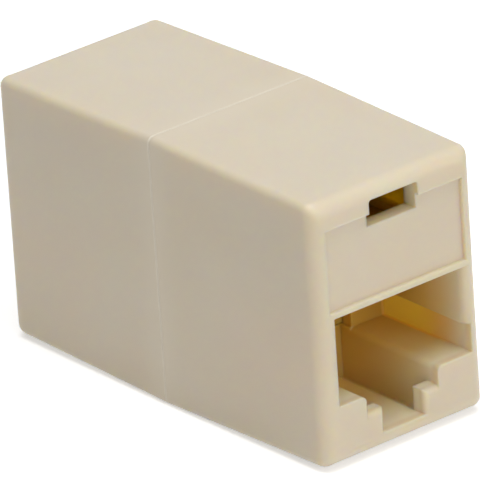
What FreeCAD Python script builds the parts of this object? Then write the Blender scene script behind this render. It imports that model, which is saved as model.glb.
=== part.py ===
import FreeCAD, Part
import os

import Sketcher
from FreeCAD import Placement, Rotation, Vector

# An inline coupler that joins two eight-contact modular plugs end to end.
#
# Frame, in millimetres: +Z is up, +Y runs along the coupler and +X across it.
# The two halves of the housing meet in the plane Y = 0, and Z = 0 is the lower line of that rim.
# Each half is the same moulding. It is drawn here as the front half, whose port faces -Y, and
# the rear half is the same piece turned half a turn about Z. Depths run back from the port face.

SIZES = {
    # outside of one half of the housing
    "half_length": 17.5,
    "rim_width": 15.05,
    "rim_height": 20.7,
    "side_taper": 0.17,
    "height_taper": 0.345,
    "face_edge_radius": 1.15,
    "long_edge_radius": 0.55,
    "seam_break": 0.07,
    # plug port
    "port_width": 11.9,
    "port_top": 11.59,
    "port_depth": 9.5,
    "lead_in_radius": 0.8,
    "shoulder_height": 4.9,
    "shoulder_edge_radius": 0.45,
    "notch_reach": 0.39,
    "notch_top": 7.07,
    "stop_thickness": 1.0,
    "stop_inset": 0.2,
    "stop_top": 7.4,
    # latch keyway below the port
    "keyway_width": 6.6,
    "keyway_offset": -0.22,
    "latch_gap": 3.7,
    "latch_offset": -0.1,
    "tab_top": 3.45,
    "tab_thickness": 1.3,
    "tab_front_radius": 0.45,
    "sill_height": 1.63,
    "groove_floor": 0.82,
    "well_depth": 10.5,
    # front wall, its sunk panel and its window
    "front_wall": 1.65,
    "lip_top": 12.03,
    "panel_width": 12.56,
    "panel_top": 18.33,
    "panel_depth": 0.35,
    "window_width": 4.5,
    "window_floor": 17.25,
    "window_top": 19.37,
    "window_corner_radius": 0.25,
    # inside of the housing
    "chamber_width": 12.6,
    "chamber_top": 19.45,
    "rail_height": 0.7,
    "rail_reach": 0.7,
    "core_bottom": 1.2,
    "core_top": 3.9,
    "side_core_start": 3.95,
    "side_core_width": 1.25,
    "middle_core_width": 6.4,
    "middle_core_depth": 5.5,
    "peg_side": 6.3,
    "peg_height": 2.2,
    "peg_radius": 0.6,
    "peg_length": 1.6,
    "peg_chamfer": 0.2,
    "socket_clearance": 0.05,
    "socket_end_gap": 0.2,
    # contact insert
    "insert_gap": 0.05,
    "insert_front_gap": 0.1,
    "insert_back": 2.5,
    "plate_thickness": 1.92,
    "guide_height": 1.34,
    "guide_width": 0.56,
    "guide_nose_radius": 0.6,
    "comb_width": 8.6,
    "comb_bottom": 7.6,
    "comb_depth": 9.6,
    "comb_slot_width": 0.62,
    "comb_slot_depth": 1.15,
    "block_wall": 1.6,
    "block_core_depth": 3.0,
    "foot_width": 1.6,
    "foot_bottom": 5.5,
    "foot_height": 3.0,
    # spring contacts
    "contact_count": 8,
    "contact_pitch": 1.016,
    "strip_width": 0.46,
    "strip_thickness": 0.3,
    "bend_radius": 0.9,
    "bend_inset": 1.25,
    "spring_angle": 25,
    "tip_depth": 10.0,
    "row_rise": 2.54,
    "jog_place": 1.75,
    "tail_length": 0.35,
    # circuit board and its solder
    "board_thickness": 1.6,
    "board_width": 13.2,
    "board_bottom": 4.5,
    "board_top": 20.0,
    "board_corner_radius": 0.5,
    "board_gap": 0.05,
    "hole_radius": 0.3,
    "solder_foot": 0.9,
    "solder_crown": 0.54,
    "solder_height": 0.3,
}

doc = FreeCAD.newDocument("inline_coupler")
sheet = doc.addObject("Spreadsheet::Sheet", "sizes")
for row, (alias, size) in enumerate(SIZES.items(), start=1):
    sheet.set(f"A{row}", alias)
    sheet.set(f"B{row}", str(size))
    sheet.setAlias(f"B{row}", alias)
doc.recompute()

# Places worked out from the sheet, as expressions in the half's own frame.
FACE = "sizes.half_length"
WALL_BACK = "(sizes.half_length - sizes.front_wall)"
STOP_BACK = "(sizes.half_length - sizes.port_depth - sizes.stop_thickness)"
PLATE_FRONT = "(sizes.half_length - sizes.front_wall - sizes.insert_front_gap)"
PLATE_TOP = "(sizes.port_top + sizes.plate_thickness)"
GUIDE_FLOOR = "(sizes.port_top + sizes.guide_height)"
LOWER_ROW = f"({GUIDE_FLOOR} + sizes.strip_thickness / 2)"
UPPER_ROW = f"({LOWER_ROW} + sizes.row_rise)"
BOARD_FACE = "(sizes.board_thickness / 2)"
KEY_LEFT = "(sizes.keyway_offset - sizes.keyway_width / 2)"
KEY_RIGHT = "(sizes.keyway_offset + sizes.keyway_width / 2)"
GAP_LEFT = "(sizes.latch_offset - sizes.latch_gap / 2)"
GAP_RIGHT = "(sizes.latch_offset + sizes.latch_gap / 2)"
# How far a cut runs past open edges, and how near counts as touching.
OVERRUN = 1.0
NEAR = 0.001


def size(alias):
    """A size as a number, for loops and for finding edges."""
    return float(sheet.get(alias))


def minus(expression):
    return f"0 - {expression}"


def half(alias):
    return f"sizes.{alias} / 2"


def rectangle(left, right, bottom, top, radius=None):
    """Corners of a rectangle, counter-clockwise from the lower left."""
    return [(left, bottom, radius), (right, bottom, radius), (right, top, radius), (left, top, radius)]


def centred(half_width, bottom, top, radius=None):
    return rectangle(minus(half_width), half_width, bottom, top, radius)


def new_sketch(body, name, role, offset="0"):
    """A sketch on one of the body's own origin planes, moved along the plane's normal."""
    sketch = body.newObject("Sketcher::SketchObject", name)
    planes = [feature for feature in body.Origin.OriginFeatures if feature.Role == role]
    sketch.AttachmentSupport = [(planes[0], "")]
    sketch.MapMode = "FlatFace"
    sketch.setExpression(".AttachmentOffset.Base.z", offset)
    return sketch


def bind_point(sketch, line, end, across, up):
    """Holds one end of a line at the place that two expressions give."""
    for kind, expression in (("DistanceX", across), ("DistanceY", up)):
        index = sketch.addConstraint(Sketcher.Constraint(kind, -1, 1, line, end, 1.0))
        sketch.setExpression(f"Constraints[{index}]", expression)


def draw(sketch, corners, closed=True):
    """Adds a line through the corners, each an (across, up, rounding radius or None) triple."""
    first = sketch.GeometryCount
    count = len(corners)
    lines = count if closed else count - 1
    for step in range(lines):
        start = Vector(step, step * step, 0)
        end = Vector(step + 1, (step + 1) ** 2, 0)
        sketch.addGeometry(Part.LineSegment(start, end), False)
    for step in range(lines if closed else lines - 1):
        following = first + (step + 1) % lines
        sketch.addConstraint(Sketcher.Constraint("Coincident", first + step, 2, following, 1))
    for step, (across, up, radius) in enumerate(corners):
        if step < lines:
            bind_point(sketch, first + step, 1, across, up)
        else:
            bind_point(sketch, first + step - 1, 2, across, up)
    sketch.recompute()
    for step, (across, up, radius) in enumerate(corners):
        if radius:
            before = first + (step - 1) % lines
            sketch.fillet(before, 2, size(radius), 1, True)
            arc = [
                index
                for index in range(sketch.GeometryCount)
                if isinstance(sketch.Geometry[index], Part.ArcOfCircle)
            ][-1]
            index = sketch.addConstraint(Sketcher.Constraint("Radius", arc, size(radius)))
            sketch.setExpression(f"Constraints[{index}]", f"sizes.{radius}")
    sketch.recompute()


def draw_circle(sketch, across, up, radius):
    circle = sketch.addGeometry(Part.Circle(Vector(1, 1, 0), Vector(0, 0, 1), 0.5), False)
    bind_point(sketch, circle, 3, across, up)
    index = sketch.addConstraint(Sketcher.Constraint("Radius", circle, 0.5))
    sketch.setExpression(f"Constraints[{index}]", radius)
    sketch.recompute()


def extrude(body, kind, sketch, length, back=False, symmetric=False):
    """A Pad or Pocket of a sketch, with its length bound to the sheet."""
    feature = body.newObject(f"PartDesign::{kind}", f"{sketch.Name}_{kind.lower()}")
    feature.Profile = sketch
    feature.setExpression("Length", length)
    feature.Reversed = back
    if symmetric:
        feature.SideType = "Symmetric"
    sketch.Visibility = False
    return feature


def pocket(body, name, outlines, length, plane="XZ_Plane", offset="0", back=False, symmetric=False):
    sketch = new_sketch(body, name, plane, offset)
    for corners in outlines:
        draw(sketch, corners)
    return extrude(body, "Pocket", sketch, length, back, symmetric)


def pad(body, name, outlines, length, plane="XZ_Plane", offset="0", back=False):
    sketch = new_sketch(body, name, plane, offset)
    for corners in outlines:
        draw(sketch, corners)
    return extrude(body, "Pad", sketch, length, back)


def mirrored_pair(left, right, bottom, top):
    """The same rectangle on both sides of the middle plane."""
    return [rectangle(left, right, bottom, top), rectangle(minus(right), minus(left), bottom, top)]


def row_of_copies(body, feature, direction):
    """Repeats a feature once for each contact, along the row."""
    pattern = body.newObject("PartDesign::LinearPattern", f"{feature.Name}_row")
    pattern.Originals = [feature]
    pattern.Direction = direction
    pattern.setExpression("Length", "sizes.contact_pitch * (sizes.contact_count - 1)")
    pattern.setExpression("Occurrences", "sizes.contact_count")
    body.Tip = pattern
    return pattern


def dress_edges(body, kind, name, base, alias, chosen):
    """A Fillet or Chamfer on the edges of the base for which chosen(edge) is true."""
    doc.recompute()
    names = [f"Edge{number}" for number, edge in enumerate(base.Shape.Edges, start=1) if chosen(edge)]
    feature = body.newObject(f"PartDesign::{kind}", name)
    feature.Base = (base, names)
    feature.setExpression("Radius" if kind == "Fillet" else "Size", f"sizes.{alias}")
    body.Tip = feature
    return feature


def new_body(name, turned):
    """A body in the half's frame, which the rear half turns half a turn about Z."""
    body = doc.addObject("PartDesign::Body", name)
    body.Label = name
    body.Placement = Placement(Vector(0, 0, 0), Rotation(Vector(0, 0, 1), 180 if turned else 0))
    return body


def outer_form(name):
    """The tapered block of one half, with its face edges and long edges rounded together."""
    wedge = doc.addObject("Part::Wedge", f"{name}_block")
    rim_side = half("rim_width")
    face_side = f"({half('rim_width')} - sizes.side_taper)"
    places = {
        "Ymin": minus("sizes.half_length"),
        "Ymax": "0",
        "Xmin": minus(face_side),
        "Xmax": face_side,
        "Zmin": "sizes.height_taper",
        "Zmax": "sizes.rim_height - sizes.height_taper",
        "X2min": minus(rim_side),
        "X2max": rim_side,
        "Z2min": "0",
        "Z2max": "sizes.rim_height",
    }
    for side, place in places.items():
        wedge.setExpression(side, place)
    doc.recompute()
    face = -size("half_length")
    rounding = doc.addObject("Part::Fillet", f"{name}_rounding")
    rounding.Base = wedge
    rounded_edges = []
    for number, edge in enumerate(wedge.Shape.Edges, start=1):
        if edge.BoundBox.YMax < face + NEAR:
            radius = size("face_edge_radius")
            rounded_edges.append((number, radius, radius))
        elif edge.BoundBox.YLength > NEAR:
            radius = size("long_edge_radius")
            rounded_edges.append((number, radius, radius))
    rounding.Edges = rounded_edges
    return rounding


def port_outline():
    """The plug's opening: side walls, shoulders, the key notch and the stepped latch keyway."""
    side = half("port_width")
    notch = f"{half('port_width')} + sizes.notch_reach"
    left = [
        (minus(side), "sizes.port_top", None),
        (minus(side), "sizes.shoulder_height", None),
        (KEY_LEFT, "sizes.shoulder_height", "shoulder_edge_radius"),
        (KEY_LEFT, "sizes.tab_top", None),
        (GAP_LEFT, "sizes.tab_top", None),
        (GAP_LEFT, "sizes.sill_height", None),
    ]
    right = [
        (GAP_RIGHT, "sizes.sill_height", None),
        (GAP_RIGHT, "sizes.tab_top", None),
        (KEY_RIGHT, "sizes.tab_top", None),
        (KEY_RIGHT, "sizes.shoulder_height", "shoulder_edge_radius"),
        (notch, "sizes.shoulder_height", None),
        (notch, "sizes.notch_top", None),
        (side, "sizes.notch_top", None),
        (side, "sizes.port_top", None),
    ]
    return left + right


def latch_well_outline():
    """The keyway behind its tabs: a pad level with the sill between two lower grooves."""
    return [
        (KEY_LEFT, "sizes.shoulder_height", None),
        (KEY_LEFT, "sizes.groove_floor", None),
        (GAP_LEFT, "sizes.groove_floor", None),
        (GAP_LEFT, "sizes.sill_height", None),
        (GAP_RIGHT, "sizes.sill_height", None),
        (GAP_RIGHT, "sizes.groove_floor", None),
        (KEY_RIGHT, "sizes.groove_floor", None),
        (KEY_RIGHT, "sizes.shoulder_height", None),
    ]


def throat_outline():
    """The way past the two stops that the plug's nose comes up against, wider than the keyway."""
    side = half("port_width")
    left_stop = f"({KEY_LEFT} - sizes.stop_inset)"
    right_stop = f"({KEY_RIGHT} + sizes.stop_inset)"
    return [
        (minus(side), "sizes.port_top", None),
        (minus(side), "sizes.stop_top", None),
        (left_stop, "sizes.stop_top", None),
        (left_stop, "sizes.shoulder_height", None),
        (right_stop, "sizes.shoulder_height", None),
        (right_stop, "sizes.stop_top", None),
        (side, "sizes.stop_top", None),
        (side, "sizes.port_top", None),
    ]


def lead_in_outline():
    """Seen from above: an L that lies in open air but for the rounding of the port's right edge."""
    wall = half("port_width")
    inward = f"{half('port_width')} - {OVERRUN}"
    outward = f"{half('port_width')} + 2 * sizes.lead_in_radius"
    return [
        (inward, f"0 - {FACE} - {OVERRUN}", None),
        (outward, f"0 - {FACE} - {OVERRUN}", None),
        (outward, minus(FACE), None),
        (wall, minus(FACE), "lead_in_radius"),
        (wall, f"2 * sizes.lead_in_radius - {FACE}", None),
        (inward, f"2 * sizes.lead_in_radius - {FACE}", None),
    ]


def on_tab_front(edge):
    """True for the two edges of each tab's front face that stand in the mouth of the keyway."""
    box = edge.BoundBox
    return (
        box.YMax < NEAR - size("half_length")
        and size("sill_height") - NEAR < box.ZMin
        and box.ZMax < size("tab_top") + NEAR
        and abs(box.Center.x - size("latch_offset")) > size("latch_gap") / 2 - NEAR
        and abs(box.Center.x - size("keyway_offset")) < size("keyway_width") / 2 - NEAR
    )


def housing(name, turned):
    """One half of the housing, open at the seam and moulded in one piece."""
    body = new_body(name, turned)
    body.BaseFeature = outer_form(name)
    dress_edges(
        body, "Chamfer", "seam_line", body.Group[0], "seam_break",
        lambda edge: edge.BoundBox.YMin > -NEAR,
    )
    chamber = half("chamber_width")

    pocket(body, "plug_port", [port_outline()], "sizes.port_depth", offset=FACE)
    pocket(body, "throat", [throat_outline()], "sizes.port_depth + sizes.stop_thickness", offset=FACE)
    pocket(
        body, "latch_well", [latch_well_outline()], "sizes.well_depth - sizes.tab_thickness",
        offset=f"{FACE} - sizes.tab_thickness",
    )
    pocket(
        body, "panel", [centred(half("panel_width"), "sizes.lip_top", "sizes.panel_top")],
        "sizes.panel_depth", offset=FACE,
    )
    window = [
        (minus(half("window_width")), "sizes.window_floor", None),
        (half("window_width"), "sizes.window_floor", None),
        (half("window_width"), "sizes.window_top", "window_corner_radius"),
        (minus(half("window_width")), "sizes.window_top", "window_corner_radius"),
    ]
    pocket(body, "window", [window], "sizes.front_wall", offset=FACE)

    pocket(
        body, "upper_chamber", [centred(chamber, "sizes.port_top", "sizes.chamber_top")],
        WALL_BACK, back=True,
    )
    pocket(
        body, "rear_chamber", [centred(chamber, "sizes.shoulder_height", "sizes.chamber_top")],
        STOP_BACK, back=True,
    )
    board_side = f"({half('board_width')} + sizes.board_gap)"
    pocket(
        body, "board_rebate",
        [centred(board_side, "sizes.board_bottom - sizes.board_gap", "sizes.board_top + sizes.board_gap")],
        BOARD_FACE, back=True,
    )
    side_core_end = "sizes.side_core_start + sizes.side_core_width"
    pocket(
        body, "side_cores",
        mirrored_pair("sizes.side_core_start", f"({side_core_end})", "sizes.core_bottom", "sizes.core_top"),
        WALL_BACK, back=True,
    )
    pocket(
        body, "middle_core", [centred(half("middle_core_width"), "sizes.core_bottom", "sizes.core_top")],
        "sizes.middle_core_depth", back=True,
    )
    pad(
        body, "rails",
        mirrored_pair(
            f"({chamber} - sizes.rail_reach)", f"({chamber})",
            f"{PLATE_TOP} + sizes.insert_gap", f"{PLATE_TOP} + sizes.insert_gap + sizes.rail_height",
        ),
        f"{WALL_BACK} - sizes.insert_back", offset="sizes.insert_back",
    )

    socket = new_sketch(body, "socket", "XZ_Plane")
    draw_circle(socket, minus("sizes.peg_side"), "sizes.peg_height", "sizes.peg_radius + sizes.socket_clearance")
    extrude(body, "Pocket", socket, "sizes.peg_length + sizes.socket_end_gap", back=True)
    peg = new_sketch(body, "peg", "XZ_Plane")
    draw_circle(peg, "sizes.peg_side", "sizes.peg_height", "sizes.peg_radius")
    peg_pad = extrude(body, "Pad", peg, "sizes.peg_length", back=True)

    peg_end = size("peg_length")
    dress_edges(
        body, "Chamfer", "peg_lead", peg_pad, "peg_chamfer",
        lambda edge: edge.BoundBox.YMin > peg_end - NEAR,
    )
    dress_edges(body, "Fillet", "tab_fronts", body.Tip, "tab_front_radius", on_tab_front)
    pocket(
        body, "lead_in", [lead_in_outline()], "sizes.port_top - sizes.notch_top",
        plane="XY_Plane", offset="sizes.notch_top", back=True,
    )
    return body


def insert(name, turned):
    """The moulded insert that guides the eight contacts: a slotted plate on a comb block."""
    body = new_body(name, turned)
    side = f"({half('chamber_width')} - sizes.insert_gap)"
    block_front = f"({STOP_BACK} - sizes.insert_gap)"
    block_bottom = "(sizes.shoulder_height + sizes.insert_gap)"

    pad(
        body, "plate", [centred(side, "sizes.port_top", PLATE_TOP)],
        f"{PLATE_FRONT} - sizes.insert_back", offset="sizes.insert_back",
    )
    pad(
        body, "comb_block", [centred(side, block_bottom, "sizes.port_top")],
        f"{block_front} - sizes.insert_back", offset="sizes.insert_back",
    )
    pad(
        body, "comb_nose", [centred(half("comb_width"), "sizes.comb_bottom", "sizes.port_top")],
        f"sizes.half_length - sizes.comb_depth - {block_front}", offset=block_front,
    )
    pocket(
        body, "block_core",
        [
            centred(
                f"({side} - sizes.block_wall)", f"{block_bottom} + sizes.block_wall / 2",
                "sizes.port_top - sizes.block_wall / 2",
            )
        ],
        "sizes.block_core_depth", offset="sizes.insert_back", back=True,
    )
    pad(
        body, "feet",
        mirrored_pair(
            f"({side} - sizes.foot_width)", side,
            "sizes.foot_bottom", "sizes.foot_bottom + sizes.foot_height",
        ),
        f"sizes.insert_back - {BOARD_FACE} - sizes.board_gap", offset=f"{BOARD_FACE} + sizes.board_gap",
    )

    row_start = "0 - sizes.contact_pitch * (sizes.contact_count - 1) / 2"
    nose = f"({PLATE_FRONT} - sizes.bend_inset + sizes.guide_nose_radius)"
    past_nose = f"({nose} - 2 * sizes.guide_nose_radius)"
    guide = [
        (f"0 - {PLATE_FRONT} - {OVERRUN}", f"sizes.port_top - {OVERRUN}", None),
        (minus(past_nose), f"sizes.port_top - {OVERRUN}", None),
        (minus(past_nose), "sizes.port_top", None),
        (minus(nose), "sizes.port_top", "guide_nose_radius"),
        (minus(nose), GUIDE_FLOOR, "guide_nose_radius"),
        (f"{OVERRUN} - sizes.insert_back", GUIDE_FLOOR, None),
        (f"{OVERRUN} - sizes.insert_back", f"{PLATE_TOP} + {OVERRUN}", None),
        (f"0 - {PLATE_FRONT} - {OVERRUN}", f"{PLATE_TOP} + {OVERRUN}", None),
    ]
    guide_cut = pocket(
        body, "wire_guide", [guide], "sizes.guide_width", plane="YZ_Plane", offset=row_start, symmetric=True
    )
    row_of_copies(body, guide_cut, (guide_cut.Profile[0], ["N_Axis"]))

    comb_front = "(sizes.half_length - sizes.comb_depth)"
    comb_slot = rectangle(
        f"0 - {comb_front} - {OVERRUN}", f"0 - {comb_front} + sizes.comb_slot_depth",
        f"sizes.comb_bottom - {OVERRUN}", "sizes.port_top",
    )
    slot_cut = pocket(
        body, "comb_slot", [comb_slot], "sizes.comb_slot_width", plane="YZ_Plane", offset=row_start,
        symmetric=True,
    )
    row_of_copies(body, slot_cut, (slot_cut.Profile[0], ["N_Axis"]))
    return body


def contact(name, place, turned):
    """A formed strip spring: tail through the board, guide run, nose bend and sloping free end.

    Every second tail jogs up to the board's upper row of holes.
    """
    body = new_body(name, turned)
    shift = f"sizes.contact_pitch * ({place} - (sizes.contact_count - 1) / 2)"
    body.setExpression(".Placement.Base.x", minus(f"({shift})") if turned else shift)
    tail = f"({BOARD_FACE} + sizes.solder_height + sizes.tail_length)"
    bend = f"({PLATE_FRONT} - sizes.bend_inset)"
    corner = f"({bend} + sizes.bend_radius / tan(sizes.spring_angle / 2))"
    tip = "(sizes.half_length - sizes.tip_depth)"
    tip_height = f"{LOWER_ROW} - ({corner} - {tip}) * tan(sizes.spring_angle)"
    jogged = place % 2 == 0
    tail_row = UPPER_ROW if jogged else LOWER_ROW
    route = [(tail, tail_row, None)]
    if jogged:
        route += [(minus("sizes.jog_place"), level, None) for level in (UPPER_ROW, LOWER_ROW)]
    route += [(minus(corner), LOWER_ROW, "bend_radius"), (minus(tip), tip_height, None)]

    path = new_sketch(body, "route", "YZ_Plane")
    draw(path, route, closed=False)
    section = new_sketch(body, "section", "XZ_Plane", minus(tail))
    draw(
        section,
        centred(
            half("strip_width"), f"{tail_row} - sizes.strip_thickness / 2",
            f"{tail_row} + sizes.strip_thickness / 2",
        ),
    )
    strip = body.newObject("PartDesign::AdditivePipe", "strip")
    strip.Profile = section
    strip.Spine = path
    strip.Transition = "Right corner"
    return body


def circuit_board():
    """The board clamped across the seam, with a hole for every contact of both halves."""
    body = new_body("circuit_board", False)
    outline = centred(half("board_width"), "sizes.board_bottom", "sizes.board_top", "board_corner_radius")
    pad(body, "board", [outline], "sizes.board_thickness", offset=minus(BOARD_FACE))
    holes = new_sketch(body, "contact_holes", "XZ_Plane", BOARD_FACE)
    first = "0 - sizes.contact_pitch * (sizes.contact_count - 1) / 2"
    for level in (LOWER_ROW, UPPER_ROW):
        draw_circle(holes, first, level, "sizes.hole_radius")
    drilled = extrude(body, "Pocket", holes, "sizes.board_thickness")
    row_of_copies(body, drilled, (holes, ["H_Axis"]))
    return body


def solder_collar(place, turned):
    """The solder that climbs one contact's tail from its square pad on the far face of the board."""
    level = UPPER_ROW if place % 2 == 0 else LOWER_ROW
    side = -1 if turned else 1
    shift = f"sizes.contact_pitch * ({place} - (sizes.contact_count - 1) / 2) * {side}"
    outside = doc.addObject("Part::Wedge", "solder")
    spans = {
        "Ymin": "0",
        "Ymax": "sizes.solder_height",
        "Xmin": minus(half("solder_foot")),
        "Xmax": half("solder_foot"),
        "Zmin": minus(half("solder_foot")),
        "Zmax": half("solder_foot"),
        "X2min": minus(half("solder_crown")),
        "X2max": half("solder_crown"),
        "Z2min": f"0 - ({half('solder_crown')} - sizes.strip_width / 2 + sizes.strip_thickness / 2)",
        "Z2max": f"{half('solder_crown')} - sizes.strip_width / 2 + sizes.strip_thickness / 2",
    }
    for span, place_of_side in spans.items():
        outside.setExpression(span, place_of_side)
    tail = doc.addObject("Part::Box", "tail_hole")
    tail.setExpression("Length", "sizes.strip_width")
    tail.setExpression("Width", "sizes.solder_height")
    tail.setExpression("Height", "sizes.strip_thickness")
    tail.setExpression(".Placement.Base.x", minus(half("strip_width")))
    tail.setExpression(".Placement.Base.z", minus(half("strip_thickness")))
    collar = doc.addObject("Part::Cut", "solder_collar")
    collar.Base = outside
    collar.Tool = tail
    collar.Placement = Placement(Vector(0, 0, 0), Rotation(Vector(0, 0, 1), 180 if turned else 0))
    collar.setExpression(".Placement.Base.x", shift)
    collar.setExpression(".Placement.Base.y", f"{BOARD_FACE} * {side}")
    collar.setExpression(".Placement.Base.z", level)
    return collar


def solder_joints():
    """All the soldered tails of the board, as one group."""
    count = int(size("contact_count"))
    group = doc.addObject("Part::Compound", "solder_joints")
    group.Label = "solder_joints"
    group.Links = [solder_collar(place, turned) for turned in (False, True) for place in range(count)]
    return group


def contact_row(prefix, turned):
    count = int(size("contact_count"))
    return [contact(f"{prefix}_contact_{place + 1}", place, turned) for place in range(count)]


parts = [housing("front_shell", False), housing("rear_shell", True)]
parts += [insert("front_insert", False), insert("rear_insert", True)]
parts += [circuit_board(), solder_joints()]
parts += contact_row("front", False) + contact_row("rear", True)
doc.recompute()

failed = [item.Name for item in doc.Objects if {"Invalid", "Error"} & set(item.State)]
if failed:
    raise RuntimeError(f"features that did not build: {failed}")
for part in parts:
    if part.Shape.isNull() or not part.Shape.isValid():
        raise RuntimeError(f"{part.Label} has no valid shape")

os.makedirs("parts", exist_ok=True)
for part in parts:
    part.Shape.exportStep(f"parts/{part.Label}.step")
    print(f"{part.Label}: {part.Shape.Volume:.2f} mm3, {len(part.Shape.Solids)} solid(s)")
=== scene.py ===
import math

import bpy
from mathutils import Matrix, Vector


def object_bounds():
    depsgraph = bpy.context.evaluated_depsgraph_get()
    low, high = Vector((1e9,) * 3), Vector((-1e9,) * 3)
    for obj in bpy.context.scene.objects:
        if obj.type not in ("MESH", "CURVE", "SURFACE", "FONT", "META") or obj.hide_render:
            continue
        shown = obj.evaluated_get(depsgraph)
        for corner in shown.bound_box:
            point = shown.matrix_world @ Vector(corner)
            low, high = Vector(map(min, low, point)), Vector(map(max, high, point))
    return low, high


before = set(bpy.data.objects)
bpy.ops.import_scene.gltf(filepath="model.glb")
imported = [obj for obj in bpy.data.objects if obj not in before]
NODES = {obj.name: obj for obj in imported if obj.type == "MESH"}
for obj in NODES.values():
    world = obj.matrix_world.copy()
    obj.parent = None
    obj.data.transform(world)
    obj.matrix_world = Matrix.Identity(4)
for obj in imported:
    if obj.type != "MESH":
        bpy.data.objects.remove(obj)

# The looks of an ivory inline coupler, around its CAD frame. Lengths are in metres unless named in mm.

MM = 0.001
CAD_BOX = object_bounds()

# Where the camera stands: degrees round the object, above it and tilted about the line of sight.
CAMERA_AZIMUTH = -38.48
CAMERA_ELEVATION = 24.07
CAMERA_ROLL = -3.86
CAMERA_DISTANCE = 0.7457
CAMERA_LENS = 788.5
CAMERA_SENSOR = 36.0
CAMERA_SHIFT = (0.0037, -0.0015)
CAMERA_REACH = (0.01, 20.0)

# Studio: a pale floor under a broad overhead light, front and side lights and a weak world.
WHITE = (1.0, 1.0, 1.0, 1.0)
FLOOR_SIZE = 3.0
FLOOR_COLOUR = (0.94, 0.94, 0.94, 1.0)
FLOOR_ROUGHNESS = 0.9
FLOOR_GLOW = 0.50
WORLD_STRENGTH = 0.05
STUDIO_LIGHTS = {
    "overhead_light": {"azimuth": 0.0, "elevation": 85.0, "distance": 0.5, "size": 0.45, "power": 1.97},
    "front_light": {"azimuth": 0.0, "elevation": 20.0, "distance": 0.6, "size": 0.40, "power": 0.92},
    "left_light": {"azimuth": -80.0, "elevation": 25.0, "distance": 0.6, "size": 0.40, "power": 0.08},
    "front_left_light": {"azimuth": -45.0, "elevation": 12.0, "distance": 0.6, "size": 0.40, "power": 0.26},
    "front_right_light": {"azimuth": 40.0, "elevation": 12.0, "distance": 0.6, "size": 0.40, "power": 0.08},
}

# The plastic's tones: the outside and its deeper patches. Then painted light and shade: a painted highlight
# on the seam's line, painted light through thin inner walls, and on the rest of the inside painted light near
# a port's mouth turning to golden painted shade by its share of the way in.
IVORY = (0.82, 0.72, 0.56, 1.0)
IVORY_DEEP = (0.79, 0.65, 0.44, 1.0)
SEAM_PAINTED_HIGHLIGHT = (0.90, 0.82, 0.68, 1.0)
THIN_WALL_PAINTED_LIGHT = (0.97, 0.60, 0.13, 1.0)
INSIDE_PAINTED_LIGHT_AND_SHADE = (
    (0.00, (0.95, 0.87, 0.70, 1.0)),
    (0.12, (0.95, 0.83, 0.57, 1.0)),
    (0.32, (0.90, 0.72, 0.35, 1.0)),
    (0.60, (0.82, 0.58, 0.18, 1.0)),
    (1.00, (0.70, 0.44, 0.08, 1.0)),
)

# The painted light and shade inside follows a way in that starts this far in mm from the mouth. It ends
# further in near the base than at port height.
DEEP_START = 0.6
DEEP_LEVELS = (1.6, 6.0)
DEEP_ENDS = (18.0, 7.2)

# Where in mm each mask starts from 0 and where it reaches 1: across from the middle, up from the base,
# in from the nearer port's mouth, or away from the seam.
WITHIN_SIDES = (6.9, 6.5)
ABOVE_BASE = (0.4, 0.8)
BELOW_TOP = (19.8, 19.5)
BEHIND_FACE = (0.38, 0.9)
ABOVE_PORT = (12.5, 13.5)
BEHIND_PANEL = (1.2, 2.2)
IN_NOTCH = (6.0, 6.2)
ALONG_NOTCH = (1.5, 6.0)
ON_SEAM = (0.16, 0.05)
CLEAR_OF_SEAM = (0.4, 2.4)

# How far in mm light passes through the plastic: outside, inside, and where an inner wall is thin.
GLOW_REACH = (1.3, 0.7, 4.0)
GLOW_BY_COLOUR = (1.0, 0.80, 0.30)
PLASTIC_IOR = 1.49
EDGE_SOFTNESS = 0.22
EDGE_SAMPLES = 6
SKIN_RELIEF = {"strength": 0.25, "depth": 0.01}

# The moulded skin: slow drift of colour, streaks along the flow, and grain.
DRIFT = {"scale": 120.0, "detail": 3.0}
STREAKS = {"scale": 420.0, "detail": 2.0}
STREAK_STRETCH = (1.0, 0.25, 1.0)
STREAK_SHARE = 0.35
GRAIN = {"scale": 9000.0, "detail": 2.0}
PATCH_RANGE = (0.50, 0.95)
PATCH_DEPTH = 0.30
SHELL_POLISH = (0.27, 0.40)
INSERT_POLISH = (0.40, 0.55)

# Finishes of one fine noise: its scale and detail, two colours with their places, roughness and relief.
SPECKLED = {
    "contact_gold": {
        "metallic": 1.0,
        "noise": {"scale": 2500.0, "detail": 3.0},
        "stops": ((0.35, (0.76, 0.50, 0.17, 1.0)), (0.70, (0.90, 0.67, 0.29, 1.0))),
        "polish": (0.18, 0.34),
    },
    "board_green": {
        "metallic": 0.0,
        "noise": {"scale": 3200.0, "detail": 2.0},
        "stops": ((0.0, (0.015, 0.085, 0.035, 1.0)), (1.0, (0.030, 0.150, 0.060, 1.0))),
        "polish": (0.25, 0.45),
        "relief": {"strength": 0.3, "depth": 0.02},
    },
    "solder_tin": {
        "metallic": 1.0,
        "noise": {"scale": 4000.0, "detail": 2.0},
        "stops": ((0.0, (0.55, 0.55, 0.53, 1.0)), (1.0, (0.78, 0.78, 0.76, 1.0))),
        "polish": (0.22, 0.50),
    },
}


def node(tree, kind, **settings):
    made = tree.nodes.new(kind)
    for name, value in settings.items():
        setattr(made, name, value)
    return made


def feed(tree, entry, source):
    """Links an output to an entry, or sets a plain value on it."""
    if isinstance(source, bpy.types.NodeSocket):
        tree.links.new(source, entry)
    else:
        entry.default_value = source


def calculate(tree, operation, *terms):
    made = node(tree, "ShaderNodeMath", operation=operation)
    for entry, term in zip(made.inputs, terms):
        feed(tree, entry, term)
    return made.outputs["Value"]


def product(tree, first, *others):
    for other in others:
        first = calculate(tree, "MULTIPLY", first, other)
    return first


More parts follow.
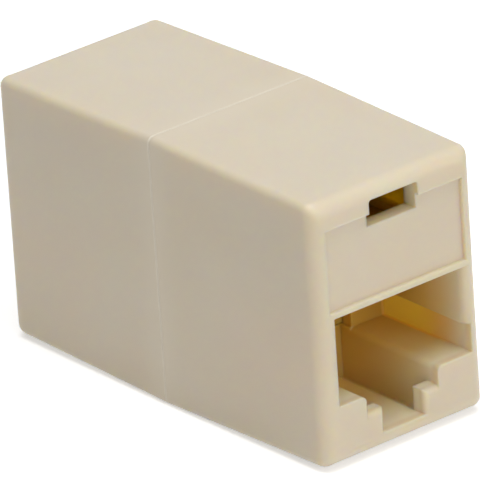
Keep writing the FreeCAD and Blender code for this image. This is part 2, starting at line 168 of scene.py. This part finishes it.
def spread(tree, value, start, end, low, high, kind="LINEAR"):
    """Takes a value from start..end to low..high."""
    made = node(tree, "ShaderNodeMapRange", interpolation_type=kind)
    for name, source in (
        ("Value", value), ("From Min", start), ("From Max", end), ("To Min", low), ("To Max", high),
    ):
        feed(tree, made.inputs[name], source)
    return made.outputs["Result"]


def mask(tree, length, places):
    """0 at the first of two places in mm and 1 at the second, smooth between, whichever is larger."""
    low, high = (0.0, 1.0) if places[0] < places[1] else (1.0, 0.0)
    return spread(tree, length, min(places) * MM, max(places) * MM, low, high, "SMOOTHSTEP")


def blend(tree, share, first, second):
    made = node(tree, "ShaderNodeMix", data_type="RGBA")
    colours = [socket for socket in made.inputs if socket.type == "RGBA"]
    for entry, source in zip([made.inputs["Factor"]] + colours, (share, first, second)):
        feed(tree, entry, source)
    return [socket for socket in made.outputs if socket.type == "RGBA"][0]


def noise(tree, place, scale, detail):
    made = node(tree, "ShaderNodeTexNoise")
    for name, source in (("Vector", place), ("Scale", scale), ("Detail", detail)):
        feed(tree, made.inputs[name], source)
    return made.outputs["Fac"]


def colour_ramp(tree, share, stops):
    made = node(tree, "ShaderNodeValToRGB")
    elements = made.color_ramp.elements
    while len(elements) < len(stops):
        elements.new(0.5)
    for element, (position, colour) in zip(elements, stops):
        element.position = position
        element.color = colour
    feed(tree, made.inputs["Fac"], share)
    return made.outputs["Color"]


def relief(tree, height, strength, depth, normal=None):
    """A bump of a depth in mm, on the surface's own normal or on the one given."""
    made = node(tree, "ShaderNodeBump")
    feed(tree, made.inputs["Strength"], strength)
    feed(tree, made.inputs["Distance"], depth * MM)
    feed(tree, made.inputs["Height"], height)
    if normal is not None:
        feed(tree, made.inputs["Normal"], normal)
    return made.outputs["Normal"]


def new_material(name):
    """A material with its node tree, its Principled shader's entries and its object coordinates."""
    material = bpy.data.materials.new(name)
    material.use_nodes = True
    tree = material.node_tree
    place = node(tree, "ShaderNodeTexCoord").outputs["Object"]
    return material, tree, tree.nodes["Principled BSDF"].inputs, place


def new_group(name, entries, results):
    """A shader node group with named sockets, each a kind, with a value for an entry that has one."""
    group = bpy.data.node_groups.new(name, "ShaderNodeTree")
    for socket_name, kind, value in entries:
        socket = group.interface.new_socket(name=socket_name, in_out="INPUT", socket_type=kind)
        if value is not None:
            socket.default_value = value
    for socket_name, kind in results:
        group.interface.new_socket(name=socket_name, in_out="OUTPUT", socket_type=kind)
    return group, node(group, "NodeGroupInput").outputs, node(group, "NodeGroupOutput").inputs


def moulded_skin_group():
    """Slow colour drift, flow streaks and a fine moulded grain, for any plastic of the object."""
    group, entry, result = new_group(
        "moulded_skin",
        (
            ("Place", "NodeSocketVector", None),
            ("Light colour", "NodeSocketColor", IVORY),
            ("Deep colour", "NodeSocketColor", IVORY_DEEP),
            ("Smoothest", "NodeSocketFloat", SHELL_POLISH[0]),
            ("Roughest", "NodeSocketFloat", SHELL_POLISH[1]),
        ),
        (("Colour", "NodeSocketColor"), ("Roughness", "NodeSocketFloat"), ("Height", "NodeSocketFloat")),
    )
    place = entry["Place"]
    flow = node(group, "ShaderNodeMapping")
    flow.inputs["Scale"].default_value = STREAK_STRETCH
    feed(group, flow.inputs["Vector"], place)
    drift = noise(group, place, **DRIFT)
    streaks = noise(group, flow.outputs["Vector"], **STREAKS)
    patches = calculate(group, "MULTIPLY_ADD", streaks, STREAK_SHARE, drift)
    share = spread(group, patches, *PATCH_RANGE, 0.0, PATCH_DEPTH)
    feed(group, result["Colour"], blend(group, share, entry["Light colour"], entry["Deep colour"]))
    polish = spread(group, streaks, 0.0, 1.0, entry["Smoothest"], entry["Roughest"])
    feed(group, result["Roughness"], polish)
    feed(group, result["Height"], noise(group, place, **GRAIN))
    return group


def housing_lengths(tree, place):
    """Lengths across from the middle, away from the seam, in from the nearer mouth and up."""
    apart = node(tree, "ShaderNodeSeparateXYZ")
    feed(tree, apart.inputs["Vector"], place)
    across = calculate(tree, "ABSOLUTE", apart.outputs["X"])
    from_seam = calculate(tree, "ABSOLUTE", apart.outputs["Y"])
    from_mouth = calculate(tree, "SUBTRACT", CAD_BOX[1][1], from_seam)
    return across, from_seam, from_mouth, apart.outputs["Z"]


def inner_masks(tree, across, from_mouth, height):
    """1 on the inner faces of the housing, and 1 on those with little plastic behind them."""
    inside = product(
        tree,
        mask(tree, across, WITHIN_SIDES),
        mask(tree, height, ABOVE_BASE),
        mask(tree, height, BELOW_TOP),
        mask(tree, from_mouth, BEHIND_FACE),
    )
    upper = product(tree, mask(tree, height, ABOVE_PORT), mask(tree, from_mouth, BEHIND_PANEL))
    notch = product(tree, mask(tree, across, IN_NOTCH), mask(tree, from_mouth, ALONG_NOTCH))
    return inside, product(tree, inside, calculate(tree, "MAXIMUM", upper, notch))


def painted_light_and_shade_group():
    """Paints light and shade into a plastic's colour: light near the mouth turning to golden shade inward,
    light through thin walls, a highlight along the seam.
    """
    group, entry, result = new_group(
        "painted_light_and_shade",
        (("Place", "NodeSocketVector", None), ("Colour", "NodeSocketColor", IVORY)),
        (("Colour", "NodeSocketColor"),),
    )
    across, from_seam, from_mouth, height = housing_lengths(group, entry["Place"])
    inside, thin = inner_masks(group, across, from_mouth, height)
    levels = [level * MM for level in DEEP_LEVELS]
    ends = [end * MM for end in DEEP_ENDS]
    deep_end = spread(group, height, *levels, *ends)
    way_in = spread(group, from_mouth, DEEP_START * MM, deep_end, 0.0, 1.0)
    # Painted light near a port's mouth turns to golden painted shade further in. It stands in for light
    # bounced inside the housing and passing through its walls.
    colour = blend(group, inside, entry["Colour"], colour_ramp(group, way_in, INSIDE_PAINTED_LIGHT_AND_SHADE))
    # Painted light: a strong golden glow where an inner wall is thin, standing in for light coming through
    # it.
    colour = blend(group, thin, colour, THIN_WALL_PAINTED_LIGHT)
    # Painted highlight: a paler line along the seam.
    feed(group, result["Colour"], blend(group, mask(group, from_seam, ON_SEAM), colour, SEAM_PAINTED_HIGHLIGHT))
    return group


def plastic(name, skin, painted_light_and_shade, light, deep, polish):
    """A moulded plastic finish with a little light passing under its surface."""
    material, tree, shader, place = new_material(name)
    finish = node(tree, "ShaderNodeGroup", node_tree=skin)
    for entry, source in (
        ("Place", place), ("Light colour", light), ("Deep colour", deep),
        ("Smoothest", polish[0]), ("Roughest", polish[1]),
    ):
        feed(tree, finish.inputs[entry], source)
    # Painted light and shade go over the skin's colour here, inside the housing and along the seam.
    tone = node(tree, "ShaderNodeGroup", node_tree=painted_light_and_shade)
    feed(tree, tone.inputs["Place"], place)
    feed(tree, tone.inputs["Colour"], finish.outputs["Colour"])
    feed(tree, shader["Base Color"], tone.outputs["Colour"])
    feed(tree, shader["Roughness"], finish.outputs["Roughness"])

    edges = node(tree, "ShaderNodeBevel", samples=EDGE_SAMPLES)
    edges.inputs["Radius"].default_value = EDGE_SOFTNESS * MM
    skin_normal = relief(tree, finish.outputs["Height"], normal=edges.outputs["Normal"], **SKIN_RELIEF)
    feed(tree, shader["Normal"], skin_normal)

    # Light can't pass from half to half, so none goes under the surface at the seam.
    across, from_seam, from_mouth, height = housing_lengths(tree, place)
    inside, thin = inner_masks(tree, across, from_mouth, height)
    reach_outside, reach_inside, reach_thin = (reach * MM for reach in GLOW_REACH)
    reach = spread(tree, inside, 0.0, 1.0, reach_outside, reach_inside)
    reach = calculate(tree, "MULTIPLY_ADD", thin, reach_thin - reach_inside, reach)
    feed(tree, shader["Subsurface Weight"], mask(tree, from_seam, CLEAR_OF_SEAM))
    feed(tree, shader["Subsurface Scale"], reach)
    feed(tree, shader["Subsurface Radius"], GLOW_BY_COLOUR)
    feed(tree, shader["IOR"], PLASTIC_IOR)
    return material


def speckled(name):
    """A finish whose colour and roughness follow one fine noise."""
    look = SPECKLED[name]
    material, tree, shader, place = new_material(name)
    grain = noise(tree, place, **look["noise"])
    feed(tree, shader["Metallic"], look["metallic"])
    feed(tree, shader["Base Color"], colour_ramp(tree, grain, look["stops"]))
    feed(tree, shader["Roughness"], spread(tree, grain, 0.0, 1.0, *look["polish"]))
    if "relief" in look:
        feed(tree, shader["Normal"], relief(tree, grain, **look["relief"]))
    return material


def dress(names, material):
    """Gives CAD nodes their finish."""
    for name in names:
        slots = NODES[name].material_slots
        if not slots:
            NODES[name].data.materials.append(material)
        for slot in slots:
            slot.material = material


def away_from(azimuth, elevation):
    """From the object towards a lamp or the camera; azimuth 0 is in front of the front port."""
    round_it = math.radians(azimuth)
    above = math.radians(elevation)
    return Vector(
        (
            math.sin(round_it) * math.cos(above),
            -math.cos(round_it) * math.cos(above),
            math.sin(above),
        )
    )


def put(name, data, azimuth, elevation, distance, roll=0.0):
    """An object at a distance from the middle of the CAD box, looking at it."""
    low, high = (Vector(corner) for corner in CAD_BOX)
    away = away_from(azimuth, elevation)
    aim = (-away).to_track_quat("-Z", "Y").to_matrix()
    tilt = Matrix.Rotation(math.radians(roll), 3, "Z")
    placed = bpy.data.objects.new(name, data)
    placed.matrix_world = Matrix.Translation((low + high) / 2 + away * distance) @ (aim @ tilt).to_4x4()
    bpy.context.scene.collection.objects.link(placed)
    return placed


def add_camera():
    lens = bpy.data.cameras.new("camera")
    lens.lens = CAMERA_LENS
    lens.sensor_width = CAMERA_SENSOR
    lens.shift_x, lens.shift_y = CAMERA_SHIFT
    lens.clip_start, lens.clip_end = CAMERA_REACH
    bpy.context.scene.camera = put(
        "camera", lens, CAMERA_AZIMUTH, CAMERA_ELEVATION, CAMERA_DISTANCE, CAMERA_ROLL
    )


def add_area_light(name, azimuth, elevation, distance, size, power):
    lamp = bpy.data.lights.new(name, "AREA")
    lamp.shape = "SQUARE"
    lamp.size = size
    lamp.energy = power
    put(name, lamp, azimuth, elevation, distance)


def seen_directly(tree):
    """1 for camera, transmission and glossy rays, which show the studio as white, and 0 for others."""
    rays = node(tree, "ShaderNodeLightPath").outputs
    through = calculate(tree, "MAXIMUM", rays["Is Camera Ray"], rays["Is Transmission Ray"])
    return calculate(tree, "MAXIMUM", through, rays["Is Glossy Ray"])


def add_world():
    world = bpy.data.worlds.new("studio")
    bpy.context.scene.world = world
    world.use_nodes = True
    tree = world.node_tree
    background = tree.nodes["Background"].inputs
    feed(tree, background["Color"], WHITE)
    feed(tree, background["Strength"], spread(tree, seen_directly(tree), 0.0, 1.0, WORLD_STRENGTH, 1.0))


def add_floor():
    """A pale floor that shows as white where it is lit and keeps the object's shadow."""
    mesh = bpy.data.meshes.new("floor")
    reach = FLOOR_SIZE / 2
    level = CAD_BOX[0][2]
    corners = [(-reach, -reach, level), (reach, -reach, level), (reach, reach, level), (-reach, reach, level)]
    mesh.from_pydata(corners, [], [(0, 1, 2, 3)])
    floor = bpy.data.objects.new("floor", mesh)
    bpy.context.scene.collection.objects.link(floor)
    material = bpy.data.materials.new("floor_white")
    material.use_nodes = True
    tree = material.node_tree
    shader = tree.nodes["Principled BSDF"].inputs
    feed(tree, shader["Base Color"], FLOOR_COLOUR)
    feed(tree, shader["Roughness"], FLOOR_ROUGHNESS)
    feed(tree, shader["Specular IOR Level"], 0.0)
    feed(tree, shader["Emission Color"], WHITE)
    feed(tree, shader["Emission Strength"], spread(tree, seen_directly(tree), 0.0, 1.0, 0.0, FLOOR_GLOW))
    mesh.materials.append(material)


skin = moulded_skin_group()
painted_light_and_shade = painted_light_and_shade_group()
ivory = plastic("ivory_shell", skin, painted_light_and_shade, IVORY, IVORY_DEEP, SHELL_POLISH)
insert_plastic = plastic("insert_plastic", skin, painted_light_and_shade, IVORY_DEEP, IVORY_DEEP, INSERT_POLISH)
dress(["front_shell", "rear_shell"], ivory)
dress(["front_insert", "rear_insert"], insert_plastic)
dress(["circuit_board"], speckled("board_green"))
dress(["solder_joints"], speckled("solder_tin"))
dress([name for name in NODES if "_contact_" in name], speckled("contact_gold"))

add_camera()
add_world()
add_floor()
for name, light in STUDIO_LIGHTS.items():
    add_area_light(name, **light)
bpy.context.scene.view_settings.view_transform = "Standard"
